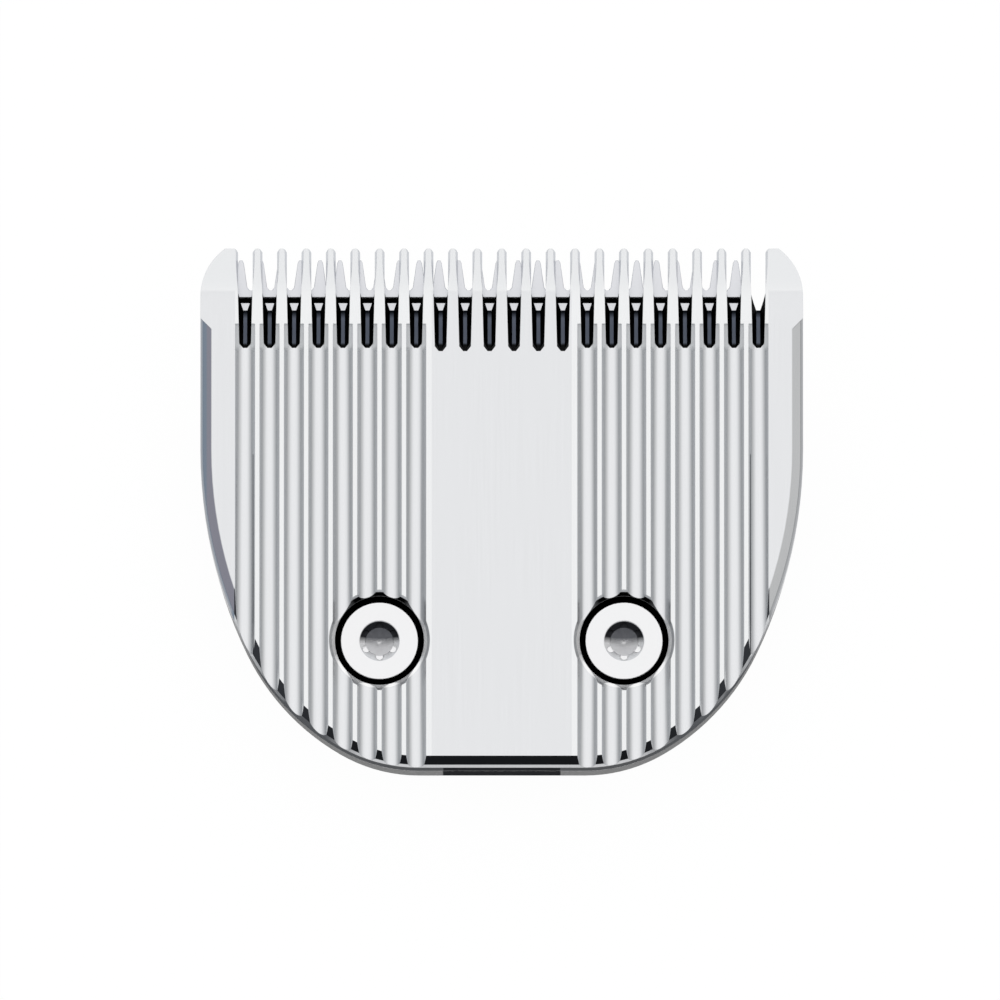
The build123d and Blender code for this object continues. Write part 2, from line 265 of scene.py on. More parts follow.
@dataclass(frozen=True)
class GroundSteel:
    """Stainless blade steel with the marks of the grinding stone.

    A ground face is bright and nearly a mirror, with fine streaks along the stone's travel. The
    real scratches are a few hundredths of a millimetre wide, too fine to show, so they are drawn
    at several times that. The keen edges are broken by a hair's breadth and catch the light.
    """

    name: str
    colour: str
    roughness: float
    grain: Grain = Grain.ALONG
    scratch_mm: float = 0.09
    streak_mm: float = 9.0
    contrast: float = 0.05
    scratch_depth_mm: float = 0.0006
    scratch_strength: float = 0.5
    edge_mm: float = 0.07
    edge_samples: int = 6
    noise_detail: float = 3.0
    noise_roughness: float = 0.6
    noise_span: Span = (0.25, 0.75)
    roughness_shares: Span = (0.85, 1.2)

    def build(self, zones: Sequence[Zone] = ()) -> bpy.types.Material:
        """Makes the material.

        Args:
            zones: the places that have a coat of their own, in the order they are laid on.

        Returns:
            The finished material.
        """
        material = bpy.data.materials.new(self.name)
        material.use_nodes = True
        tree = material.node_tree
        tree.nodes.clear()
        place = add_node(tree, "ShaderNodeTexCoord")
        fine, long = 1 / (self.scratch_mm * MM), 1 / (self.streak_mm * MM)
        scales = {
            Grain.ALONG: (fine, long, fine),
            Grain.ACROSS: (long, fine, fine),
            Grain.NONE: (fine, fine, fine),
        }
        mapped = add_node(tree, "ShaderNodeMapping", None, {
            "Vector": place.outputs["Object"], "Scale": scales[self.grain]})
        streaks = add_node(tree, "ShaderNodeTexNoise", None, {
            "Vector": mapped.outputs[0], "Scale": 1.0, "Detail": self.noise_detail,
            "Roughness": self.noise_roughness})
        faint, strong = self.noise_span
        tone = add_node(tree, "ShaderNodeMapRange", None, {
            "Value": streaks.outputs["Fac"], "From Min": faint, "From Max": strong,
            "To Min": 1.0 - self.contrast, "To Max": 1.0})
        smooth, coarse = self.roughness_shares
        rough = add_node(tree, "ShaderNodeMapRange", None, {
            "Value": streaks.outputs["Fac"], "From Min": faint, "From Max": strong,
            "To Min": self.roughness * smooth, "To Max": self.roughness * coarse})
        colour: Any = srgb(self.colour)
        roughness = rough.outputs[0]
        matt: Any = 0.0
        for zone in zones:
            mask = zone.mask(tree, place)
            dark = add_node(tree, "ShaderNodeMix", {"data_type": "RGBA"}, {
                0: mask, 6: colour, 7: srgb(zone.coat.colour)})
            dull = add_node(tree, "ShaderNodeMix", {"data_type": "FLOAT"}, {
                0: mask, 2: roughness, 3: zone.coat.roughness})
            flat = add_node(tree, "ShaderNodeMix", {"data_type": "FLOAT"}, {
                0: mask, 2: matt, 3: float(zone.coat.matt)})
            colour, roughness, matt = dark.outputs[2], dull.outputs[0], flat.outputs[0]
        steel = add_node(tree, "ShaderNodeMix", {"data_type": "RGBA", "blend_type": "MULTIPLY"}, {
            0: 1.0, 6: colour, 7: tone.outputs[0]})
        edges = add_node(tree, "ShaderNodeBevel", {"samples": self.edge_samples}, {
            "Radius": self.edge_mm * MM})
        bump = add_node(tree, "ShaderNodeBump", None, {
            "Strength": self.scratch_strength, "Distance": self.scratch_depth_mm * MM,
            "Height": streaks.outputs["Fac"], "Normal": edges.outputs[0]})
        bright = add_node(tree, "ShaderNodeBsdfPrincipled", None, {
            "Base Color": steel.outputs[2], "Metallic": 1.0, "Roughness": roughness,
            "Normal": bump.outputs[0]})
        scale = add_node(tree, "ShaderNodeBsdfDiffuse", None, {"Color": steel.outputs[2]})
        skin = add_node(tree, "ShaderNodeMixShader", None, {
            0: matt, 1: bright.outputs[0], 2: scale.outputs[0]})
        add_node(tree, "ShaderNodeOutputMaterial", None, {"Surface": skin.outputs[0]})
        return material


@dataclass(frozen=True)
class MouldedPlastic:
    """Black moulded acetal: a dull skin with the fine grain of an eroded mould."""

    name: str
    colour: str
    roughness: float
    ior: float = 1.48
    grain_mm: float = 0.16
    grain_depth_mm: float = 0.008
    grain_strength: float = 0.35
    grain_detail: float = 2.0
    flow_mm: float = 6.0
    flow_detail: float = 3.0
    noise_span: Span = (0.3, 0.7)
    tone_shares: Span = (0.8, 1.15)
    roughness_steps: Span = (-0.06, 0.08)

    def build(self, shade_patches: Sequence[BoxZone] = ()) -> bpy.types.Material:
        """Makes the material.

        Args:
            shade_patches: the places where the plastic is matt and dark with painted shade.

        Returns:
            The finished material.
        """
        material = bpy.data.materials.new(self.name)
        material.use_nodes = True
        tree = material.node_tree
        tree.nodes.clear()
        place = add_node(tree, "ShaderNodeTexCoord")
        grain = add_node(tree, "ShaderNodeTexNoise", None, {
            "Vector": place.outputs["Object"], "Scale": 1 / (self.grain_mm * MM),
            "Detail": self.grain_detail})
        flow = add_node(tree, "ShaderNodeTexNoise", None, {
            "Vector": place.outputs["Object"], "Scale": 1 / (self.flow_mm * MM),
            "Detail": self.flow_detail})
        faint, strong = self.noise_span
        dark, light = self.tone_shares
        tone = add_node(tree, "ShaderNodeMapRange", None, {
            "Value": flow.outputs["Fac"], "From Min": faint, "From Max": strong,
            "To Min": dark, "To Max": light})
        colour = add_node(tree, "ShaderNodeMix", {"data_type": "RGBA", "blend_type": "MULTIPLY"}, {
            0: 1.0, 6: srgb(self.colour), 7: tone.outputs[0]})
        smooth, coarse = self.roughness_steps
        rough = add_node(tree, "ShaderNodeMapRange", None, {
            "Value": grain.outputs["Fac"], "From Min": faint, "From Max": strong,
            "To Min": self.roughness + smooth, "To Max": self.roughness + coarse})
        bump = add_node(tree, "ShaderNodeBump", None, {
            "Strength": self.grain_strength, "Distance": self.grain_depth_mm * MM,
            "Height": grain.outputs["Fac"]})
        shader = add_node(tree, "ShaderNodeBsdfPrincipled", None, {
            "Base Color": colour.outputs[2], "Roughness": rough.outputs[0], "IOR": self.ior,
            "Normal": bump.outputs[0]})
        surface = shader.outputs[0]
        # Each patch is dark matt painted shade.
        for shade_patch in shade_patches:
            matt = add_node(tree, "ShaderNodeBsdfDiffuse", None, {"Color": srgb(shade_patch.coat.colour)})
            skin = add_node(tree, "ShaderNodeMixShader", None, {
                0: shade_patch.mask(tree, place), 1: surface, 2: matt.outputs[0]})
            surface = skin.outputs[0]
        add_node(tree, "ShaderNodeOutputMaterial", None, {"Surface": surface})
        return material


COMB_STEEL = GroundSteel("ground_blade_steel", "#F1F2F3", 0.16, scratch_mm=0.14, contrast=0.026,
                         edge_mm=0.045)
CUTTER_STEEL = GroundSteel("lapped_cutter_steel", "#E4E5E9", 0.20, Grain.ACROSS, contrast=0.04)
SCREW_STEEL = GroundSteel("turned_screw_steel", "#F6F6F7", 0.22, Grain.NONE, scratch_mm=0.2, contrast=0.03)
SPRING_STEEL = GroundSteel("rolled_spring_strip", "#C9CACC", 0.24, scratch_mm=0.06, streak_mm=4.0)
HOLDER_PLASTIC = MouldedPlastic("moulded_black_acetal", "#232427", 0.42)
CARRIER_PLASTIC = MouldedPlastic("moulded_carrier_acetal", "#2B2C30", 0.38)


@dataclass(frozen=True)
class SoftEdges:
    """How the solids' facets are welded and shaded.

    Curved faces are smooth and keen edges sharp. On the lapped land, the comb's top face, even a
    low edge stays sharp.
    """

    sharp_degrees: float = 24.0
    lapped_degrees: float = 9.0
    lapped_depth: float = 0.01 * MM
    weld: float = 0.0005 * MM

    def tree(self) -> bpy.types.NodeTree:
        """Makes the Geometry Nodes tree that welds a solid's facets and shades its curves smooth.

        Returns:
            The tree, with its angles, the lapped height and the weld distance as named inputs.
        """
        tree = bpy.data.node_groups.new("weld_and_smooth", "GeometryNodeTree")
        ports = tree.interface
        ports.new_socket("Geometry", in_out="INPUT", socket_type="NodeSocketGeometry")
        for name, value in (("Sharp Angle", radians(self.sharp_degrees)),
                            ("Lapped Edge Angle", radians(self.lapped_degrees)),
                            ("Lapped Height", cad_high.z - self.lapped_depth),
                            ("Weld Distance", self.weld)):
            ports.new_socket(name, in_out="INPUT", socket_type="NodeSocketFloat").default_value = value
        ports.new_socket("Geometry", in_out="OUTPUT", socket_type="NodeSocketGeometry")
        enter = add_node(tree, "NodeGroupInput")
        merged = add_node(tree, "GeometryNodeMergeByDistance", None, {
            "Geometry": enter.outputs["Geometry"], "Distance": enter.outputs["Weld Distance"]})
        rounded = add_node(tree, "GeometryNodeSetShadeSmooth", {"domain": "FACE"}, {
            "Geometry": merged.outputs[0], "Shade Smooth": True})
        angle = add_node(tree, "GeometryNodeInputMeshEdgeAngle").outputs["Unsigned Angle"]
        middle = add_node(tree, "GeometryNodeInputPosition")
        level = add_node(tree, "ShaderNodeSeparateXYZ", None, {0: middle.outputs[0]})
        keen, on_land, bent = (
            add_node(tree, "FunctionNodeCompare", {"data_type": "FLOAT", "operation": "GREATER_THAN"}, {
                0: value, 1: enter.outputs[limit]})
            for value, limit in ((angle, "Sharp Angle"), (level.outputs[2], "Lapped Height"),
                                 (angle, "Lapped Edge Angle")))
        low_edge = add_node(tree, "FunctionNodeBooleanMath", {"operation": "AND"}, {
            0: on_land.outputs[0], 1: bent.outputs[0]})
        either = add_node(tree, "FunctionNodeBooleanMath", {"operation": "OR"}, {
            0: keen.outputs[0], 1: low_edge.outputs[0]})
        crisp = add_node(tree, "GeometryNodeSetShadeSmooth", {"domain": "EDGE"}, {
            "Geometry": rounded.outputs[0], "Selection": either.outputs[0], "Shade Smooth": False})
        add_node(tree, "NodeGroupOutput", None, {"Geometry": crisp.outputs[0]})
        return tree


def plan_centre(name: str) -> Span:
    """Finds the middle of a node, seen from above.

    Args:
        name: the node's name.

    Returns:
        X and Y of its middle.
    """
    low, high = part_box(name)
    return ((low.x + high.x) / 2, (low.y + high.y) / 2)


def dress(name: str, material: bpy.types.Material, tree: bpy.types.NodeTree) -> None:
    """Gives a solid its smooth shading and its material.

    Args:
        name: the node's name.
        material: its finish.
        tree: the weld and smooth tree.
    """
    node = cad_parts[name]
    node.modifiers.new("weld_and_smooth", "NODES").node_group = tree
    if not node.material_slots:
        node.data.materials.append(material)
    for slot in node.material_slots:
        slot.material = material
    log.info("dressed %s", name)


@dataclass
class Comb:
    """The ribbed comb plate, ground all over, with painted shade in its slots and screw seats.

    The ribs are lapped last and shine most. The broad faces and flutes are a shade greyer, and the blanked
    walls are dull. Painted shade darkens the flutes' flanks, the flutes' ends by the slots, the sides of the
    teeth by their tips, the rear corners and the rear-facing walls, and a painted highlight rings each screw
    seat. Painted reflections tint the ears' and the rim's facets: dark at the rear rim, bluish on the left,
    grey on the right. The rear wall has a dark patch in the photograph, and what causes it can't be told; it
    is painted on as shade. Places are measured from the plate's box: down from its top, back from the tooth
    tips, forward from the rear edge or in from its sides. Half widths start at the middle, and radii at a
    screw's axis.
    """

    node: str = "comb_plate"
    hair: float = 0.02 * MM
    slot_rear: float = 8.6 * MM
    slot_front: float = 3.7 * MM
    slot_depth: float = 0.8 * MM
    slot_end: float = 1.1 * MM
    slot_end_top: float = 1.5 * MM
    slot_end_fade: float = 0.5 * MM
    slot_back: float = 7.55 * MM
    slot_back_fade: float = 0.2 * MM
    slot_wall_top: float = 0.46 * MM
    slot_wall_fade: float = 0.03 * MM
    ear_width: float = 2.6 * MM
    ear_side: float = 2.2 * MM
    ear_point: float = 2.4 * MM
    ear_fade: float = 0.3 * MM
    ear_stop: float = 5.5 * MM
    panel_half: float = 5.3 * MM
    flute_top: float = 0.1 * MM
    flute_floor: float = 0.46 * MM
    flute_shade_rear: float = 7.7 * MM
    flute_front: float = 5.9 * MM
    flute_shade_fade: float = 0.35 * MM
    mouth: float = 3.4 * MM
    mouth_inset: float = 1.0 * MM
    rim_stop: float = 6.3 * MM
    rim_half: float = 13.3 * MM
    rim_depth: float = 5.2 * MM
    rim_top: float = 0.02 * MM
    rim_bend: float = 0.2 * MM
    rim_foot: float = 0.47 * MM
    left_edge: float = 0.42 * MM
    left_fade: float = 0.12 * MM
    wall_lip: float = 0.06 * MM
    corner_half: float = 13.5 * MM
    corner_front: float = 24.0 * MM
    corner_fade: float = 3.0 * MM
    rear_depth: float = 4.0 * MM
    catch_half: float = 4.45 * MM
    catch_depth: float = 1.0 * MM
    seat_radius: float = 3.42 * MM
    seat_depth: float = 0.47 * MM
    seat_mouth: float = 3.68 * MM
    halo_radius: float = 3.62 * MM
    halo_front: float = 1.0 * MM
    halo_fade: float = 1.0 * MM
    broad_coat: Coat = Coat("#E7E8EA", COMB_STEEL.roughness)
    flute_coat: Coat = Coat("#EBECEE", 0.2)
    # Painted shade: the flutes' flanks darker where they face sideways.
    flank_painted_shade: Coat = Coat("#CDCFD1", 0.24)
    # Painted shade: matt grey on the flutes' sideways and rearward faces by the slots.
    flute_end_painted_shade: Coat = Coat("#E2E4E6", 0.5, matt=True)
    # Painted shade: the sideways faces of the teeth by their tips greyer.
    mouth_painted_shade: Coat = Coat("#BFC3CA", 0.3)
    # Painted highlight: a white ring round the edge of each screw seat.
    seat_painted_highlight: Coat = Coat("#FFFFFF", 0.25)
    wall_coat: Coat = Coat("#C3C4C7", 0.36)
    # The rear-facing walls are dull, and darker with painted shade; a dark matt patch of painted shade sits in
    # the middle of the rear wall.
    rear_wall_painted_shade: Coat = Coat("#6E6F71", 0.5, matt=True)
    catch_painted_shade: Coat = Coat("#323336", 0.5, matt=True)
    # Painted shade: the rear corners darker and matt where they face the rear.
    corner_painted_shade: Coat = Coat("#6C6E71", 0.3, matt=True)
    # Painted reflections: the rear strip, the rim's facets and the ears' facets, dark at the rear, bluish on
    # the left, grey on the right.
    rear_facet_painted_reflection: Coat = Coat("#CBCCCE", 0.24)
    rim_painted_reflection: Coat = Coat("#36383C", 0.2)
    left_face_painted_reflection: Coat = Coat("#8C8C97", 0.24)
    left_edge_painted_reflection: Coat = Coat("#7F8B99", 0.24)
    right_face_painted_reflection: Coat = Coat("#C4C5C6", 0.24)
    right_edge_painted_reflection: Coat = Coat("#97999B", 0.24)
    # Painted shade in the slots: near black walls and ends, and a bluish grey ramp.
    slot_wall_painted_shade: Coat = Coat("#08090A", 0.5)
    slot_ramp_painted_shade: Coat = Coat("#6E7583", 0.4)
    slot_end_painted_shade: Coat = Coat("#1C2026", 0.5)
    # Painted shade: the screw seats near black.
    seat_painted_shade: Coat = Coat("#030303", 0.6)

    def build(self, tree: bpy.types.NodeTree) -> None:
        """Softens and dresses the plate.

        Args:
            tree: the weld and smooth tree.
        """
        low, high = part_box(self.node)
        zones = [
            *self.face_zones(low, high),
            *self.rim_zones(low, high),
            *self.edge_zones(low, high),
            *self.slot_zones(low, high),
            *self.seat_zones(high.z),
        ]
        dress(self.node, COMB_STEEL.build(zones), tree)

    def face_zones(self, low: Vector, high: Vector) -> list[Zone]:
        """Lists the broad faces, the flutes and the blanked walls, with painted shade on the flutes' flanks,
        on the rear-facing walls and on a patch in the middle of the rear wall.

        Args:
            low: the plate's lowest corner.
            high: its highest corner.

        Returns:
            The zones, in the order they are laid on.
        """
        left, right = low.x + self.ear_width, high.x - self.ear_width
        rear, stop = low.y - CLEAR, high.y - self.rim_stop
        foot, floor = high.z - self.rim_foot, high.z - self.flute_floor
        wall_low = (low.x - CLEAR, rear, low.z + self.wall_lip)
        wall_high = (high.x + CLEAR, stop, foot)
        return [
            BoxZone((-self.panel_half, rear, foot), (self.panel_half, high.y + CLEAR, high.z + CLEAR),
                    self.broad_coat),
            BoxZone((left, rear, floor), (right, stop, high.z - self.flute_top), self.flute_coat),
            # Painted shade on the flutes' sideways flanks.
            BoxZone((left, rear, floor), (right, stop, high.z - self.hair), self.flank_painted_shade,
                    Facing.SIDEWAYS),
            BoxZone(wall_low, wall_high, self.wall_coat, Facing.SIDEWAYS, self.hair),
            # Painted shade on the rear-facing walls and on a patch in the rear wall's middle.
            BoxZone(wall_low, wall_high, self.rear_wall_painted_shade, Facing.REARWARD, self.hair),
            BoxZone((-self.catch_half, *wall_low[1:]), (self.catch_half, low.y + self.catch_depth, foot),
                    self.catch_painted_shade, fade=self.hair),
        ]

    def rim_zones(self, low: Vector, high: Vector) -> list[Zone]:
        """Lists the ears' faces and the two facets of the rim, the facets tinted with painted reflections.

        Args:
            low: the plate's lowest corner.
            high: its highest corner.

        Returns:
            The zones, in the order they are laid on.
        """
        zones: list[Zone] = []
        ear, half = self.ear_width, self.rim_half
        rear, stop, above = low.y - CLEAR, high.y - self.ear_stop, high.z + CLEAR
        foot, bend, top = high.z - self.rim_foot, high.z - self.rim_bend, high.z - self.rim_top
        # The facets' colours are painted reflections.
        for left, right, face, edge in (
                (low.x - CLEAR, low.x + ear, self.left_face_painted_reflection, self.left_edge_painted_reflection),
                (high.x - ear, high.x + CLEAR, self.right_face_painted_reflection, self.right_edge_painted_reflection)):
            zones += [
                BoxZone((left, rear, foot), (right, high.y + CLEAR, above), self.broad_coat),
                BoxZone((left, rear, bend), (right, stop, top), face, Facing.EDGEWARD, self.hair),
                BoxZone((left, rear, foot), (right, stop, bend), edge, Facing.EDGEWARD, self.hair),
            ]
        zones.append(BoxZone((low.x - CLEAR, rear, bend), (low.x + self.left_edge, stop, top),
                             self.left_edge_painted_reflection, Facing.EDGEWARD, self.left_fade))
        for left, right, depth in ((low.x + ear, -half, self.corner_front),
                                   (-half, half, self.rim_depth),
                                   (half, high.x - ear, self.corner_front)):
            zones.append(BoxZone((left, rear, bend), (right, low.y + depth, above), self.rim_painted_reflection,
                                 Facing.RIMWARD, self.hair))
        zones.append(BoxZone((-self.corner_half, rear, foot),
                             (self.corner_half, low.y + self.rear_depth, bend), self.rear_facet_painted_reflection,
                             Facing.REARWARD, self.hair))
        return zones

    def edge_zones(self, low: Vector, high: Vector) -> list[Zone]:
        """Lists the ears' sides, and the painted shade on the rear corners, the slots' mouths and the flutes'
        front ends.

        Args:
            low: the plate's lowest corner.
            high: its highest corner.

        Returns:
            The zones, in the order they are laid on.
        """
        zones: list[Zone] = []
        rear, above = low.y - CLEAR, high.z + CLEAR
        for left, right in ((low.x - CLEAR, low.x + self.ear_side), (high.x - self.ear_side, high.x + CLEAR)):
            zones.append(BoxZone((left, rear, low.z + self.wall_lip),
                                 (right, high.y - self.ear_point, high.z - self.rim_foot),
                                 self.wall_coat, Facing.SIDEWAYS, self.ear_fade))
        # Painted shade on the rear corners' rear-facing faces.
        for left, right in ((low.x - CLEAR, -self.corner_half), (self.corner_half, high.x + CLEAR)):
            zones.append(BoxZone((left, rear, low.z), (right, low.y + self.corner_front, above),
                                 self.corner_painted_shade, Facing.REARWARD, self.corner_fade))
        # Painted shade on the teeth's sides by their tips.
        zones.append(BoxZone((low.x + self.mouth_inset, high.y - self.mouth, low.z - CLEAR),
                             (high.x - self.mouth_inset, high.y + CLEAR, above), self.mouth_painted_shade,
                             Facing.SIDEWAYS))
        # Painted shade: matt grey on the flutes' flanks and ends by the slots.
        flute_shade_low = (low.x + self.ear_width, high.y - self.flute_shade_rear, high.z - self.flute_floor)
        flute_shade_high = (high.x - self.ear_width, high.y - self.flute_front, high.z - self.hair)
        for facing in (Facing.SIDEWAYS, Facing.REARWARD):
            zones.append(BoxZone(flute_shade_low, flute_shade_high, self.flute_end_painted_shade, facing, self.flute_shade_fade))
        return zones

    def slot_zones(self, low: Vector, high: Vector) -> list[Zone]:
        """Lists the painted shade in the slots.

        Args:
            low: the plate's lowest corner.
            high: its highest corner.

        Returns:
            The zones, in the order they are laid on.
        """
        left, right = low.x + self.ear_width, high.x - self.ear_width
        front, under = high.y - self.slot_front, low.z - CLEAR
        slot_low = (left, high.y - self.slot_rear, under)
        # Painted shade darkens the slots' ramps, ends, back walls and side walls.
        return [
            BoxZone(slot_low, (right, front, high.z - self.slot_depth), self.slot_ramp_painted_shade),
            BoxZone((left, front - self.slot_end, under), (right, front, high.z - self.slot_end_top),
                    self.slot_end_painted_shade, fade=self.slot_end_fade),
            BoxZone(slot_low, (right, high.y - self.slot_back, high.z), self.slot_wall_painted_shade,
                    Facing.FORWARD, self.slot_back_fade),
            BoxZone(slot_low, (right, front, high.z - self.slot_wall_top), self.slot_wall_painted_shade,
                    Facing.SIDEWAYS, self.slot_wall_fade),
        ]

    def seat_zones(self, top: float) -> list[Zone]:
        """Lists the painted highlight round each screw seat and the painted shade in it.

        Args:
            top: the height of the plate's top face.

        Returns:
            The zones, in the order they are laid on.
        """
        zones: list[Zone] = []
        lip, floor = top - self.hair, top - self.seat_depth
        for centre in map(plan_centre, SCREWS):
            # A painted highlight round the seat's edge, and painted shade in the seat.
            zones += [
                RingZone(centre, self.seat_radius, self.halo_radius, lip, self.seat_painted_highlight, bottom=floor,
                         front=self.halo_front, slice_fade=self.halo_fade),
                RingZone(centre, 0.0, self.seat_radius, floor, self.seat_painted_shade),
                RingZone(centre, self.seat_radius, self.seat_mouth, lip, self.seat_painted_shade,
                         facing=Facing.REARWARD),
            ]
        return zones


@dataclass
class CutterUnit:
    """The sliding cutter, with painted shade in its relief groove, and the carrier that drives it."""

    cutter: str = "moving_cutter"
    carrier: str = "cutter_carrier"
    groove_front: float = 2.86 * MM
    groove_width: float = 0.46 * MM
    groove_lip: float = 0.03 * MM
    groove_fade: float = 0.02 * MM
    # Painted shade: the relief groove near black.
    groove_painted_shade: Coat = Coat("#040404", 0.5)

    def build(self, tree: bpy.types.NodeTree) -> None:
        """Softens and dresses both pieces.

        Args:
            tree: the weld and smooth tree.
        """
        low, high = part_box(self.cutter)
        front = high.y - self.groove_front
        # Painted shade in the relief groove.
        groove = BoxZone((low.x - CLEAR, front - self.groove_width, low.z),
                         (high.x + CLEAR, front, high.z - self.groove_lip), self.groove_painted_shade, fade=self.groove_fade)
        dress(self.cutter, CUTTER_STEEL.build([groove]), tree)
        dress(self.carrier, CARRIER_PLASTIC.build(), tree)


@dataclass
class HolderUnit:
    """The moulded holder, with a painted shade patch on its rear wall, and the flat spring in its groove."""

    holder: str = "blade_holder"
    spring: str = "pressure_spring"
    patch_half: float = 4.45 * MM
    patch_depth: float = 1.0 * MM
    # Painted shade: a dark matt patch in the middle of the rear wall.
    patch_painted_shade: Coat = Coat("#363739", 1.0, matt=True)

    def build(self, tree: bpy.types.NodeTree) -> None:
        """Softens and dresses both pieces.

        Args:
            tree: the weld and smooth tree.
        """
        low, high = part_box(self.holder)
        # Painted shade on the rear wall's middle.
        shade_patch = BoxZone((-self.patch_half, low.y - CLEAR, low.z - CLEAR),
                      (self.patch_half, low.y + self.patch_depth, high.z), self.patch_painted_shade)
        dress(self.holder, HOLDER_PLASTIC.build([shade_patch]), tree)
        dress(self.spring, SPRING_STEEL.build(), tree)


@dataclass
class Fasteners:
    """The two screws, with threads rolled on their shanks."""

    pitch: float = 0.9 * MM
    crest: float = 0.14 * MM
    turns: float = 3.6
    start: float = 1.6 * MM
    shank_radius: float = 1.3 * MM
    turn_points: int = 24
    crest_points: int = 4
    rim_wall: float = 0.06 * MM
    rim_edge: float = 0.2 * MM
    recess_radius: float = 1.5 * MM
    recess_lip: float = 0.05 * MM
    recess_line: float = 0.35 * MM
    recess_fade: float = 0.5 * MM
    core_radius: float = 1.05 * MM
    # Painted shade round the heads' rims and in the front of the recesses, and matt painted light on their
    # rear.
    head_rim_painted_shade: Coat = Coat("#030303", 0.6)
    lobe_painted_shade: Coat = Coat("#2C2D30", 0.4)
    core_painted_shade: Coat = Coat("#77787C", 0.3)
    recess_rear_painted_light: Coat = Coat("#EDEDEF", 0.5, matt=True)

    def build(self, tree: bpy.types.NodeTree) -> None:
        """Dresses the screws and winds their threads.

        Args:
            tree: the weld and smooth tree.
        """
        steel = SCREW_STEEL.build(self.zones())
        for name in SCREWS:
            dress(name, steel, tree)
        self.thread(steel)

    def zones(self) -> list[Zone]:
        """Lists the painted shade round the heads' rims and in the front of their recesses, and the matt
        painted light in the rear of the recesses.

        Returns:
            The zones of both screws, in the order they are laid on.
        """
        zones: list[Zone] = []
        for name in SCREWS:
            low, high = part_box(name)
            outer, lip = (high.x - low.x) / 2, high.z - self.recess_lip
            centre = plan_centre(name)
            # Painted shade at the rim and the recess front, painted light at the recess rear.
            zones += [
                RingZone(centre, outer - self.rim_wall, outer + CLEAR, high.z - self.rim_edge, self.head_rim_painted_shade),
                RingZone(centre, self.core_radius, self.recess_radius, lip, self.lobe_painted_shade,
                         rear=self.recess_line, slice_fade=self.recess_fade),
                RingZone(centre, 0.0, self.core_radius, lip, self.core_painted_shade,
                         rear=self.recess_line, slice_fade=self.recess_fade),
                RingZone(centre, 0.0, self.core_radius, lip, self.recess_rear_painted_light,
                         front=-self.recess_line, slice_fade=self.recess_fade),
            ]
        return zones

    def thread_tree(self, steel: bpy.types.Material) -> bpy.types.NodeTree:
        """Geometry Nodes tree that winds one thread at each point of a mesh.

        Args:
            steel: the thread's material.

        Returns:
            The tree, with its sizes as named inputs.
        """
        tree = bpy.data.node_groups.new("rolled_thread", "GeometryNodeTree")
        ports = tree.interface
        ports.new_socket("Geometry", in_out="INPUT", socket_type="NodeSocketGeometry")
        for name, value in (("Shank Radius", self.shank_radius), ("Length", self.pitch * self.turns),
                            ("Turns", self.turns), ("Crest", self.crest)):
            ports.new_socket(name, in_out="INPUT", socket_type="NodeSocketFloat").default_value = value
        ports.new_socket("Geometry", in_out="OUTPUT", socket_type="NodeSocketGeometry")
        enter = add_node(tree, "NodeGroupInput")
        helix = add_node(tree, "GeometryNodeCurveSpiral", None, {
            "Resolution": self.turn_points, "Rotations": enter.outputs["Turns"],
            "Start Radius": enter.outputs["Shank Radius"], "End Radius": enter.outputs["Shank Radius"],
            "Height": enter.outputs["Length"]})
        ridge = add_node(tree, "GeometryNodeCurvePrimitiveCircle", None, {
            "Resolution": self.crest_points, "Radius": enter.outputs["Crest"]})
        thread = add_node(tree, "GeometryNodeCurveToMesh", None, {
            "Curve": helix.outputs[0], "Profile Curve": ridge.outputs[0], "Fill Caps": True})
        placed = add_node(tree, "GeometryNodeInstanceOnPoints", None, {
            "Points": enter.outputs["Geometry"], "Instance": thread.outputs[0]})
        real = add_node(tree, "GeometryNodeRealizeInstances", None, {"Geometry": placed.outputs[0]})
        dressed = add_node(tree, "GeometryNodeSetMaterial", None, {
            "Geometry": real.outputs[0], "Material": steel})
        add_node(tree, "NodeGroupOutput", None, {"Geometry": dressed.outputs[0]})
        return tree

    def thread(self, steel: bpy.types.Material) -> None:
        """Makes both threads as one plain mesh.

        Args:
            steel: the thread's material.
        """
        points = bpy.data.meshes.new("thread_points")
        points.from_pydata([(*plan_centre(name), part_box(name)[0].z + self.start) for name in SCREWS], [], [])
        maker = bpy.data.objects.new("thread_maker", points)
        bpy.context.scene.collection.objects.link(maker)
        maker.modifiers.new("rolled_thread", "NODES").node_group = self.thread_tree(steel)
        ready = maker.evaluated_get(bpy.context.evaluated_depsgraph_get())
        mesh = bpy.data.meshes.new_from_object(ready)
        bpy.data.objects.remove(maker)
        piece = bpy.data.objects.new("screw_threads", mesh)
        bpy.context.scene.collection.objects.link(piece)
        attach(piece, "base")
        log.info("made screw_threads")


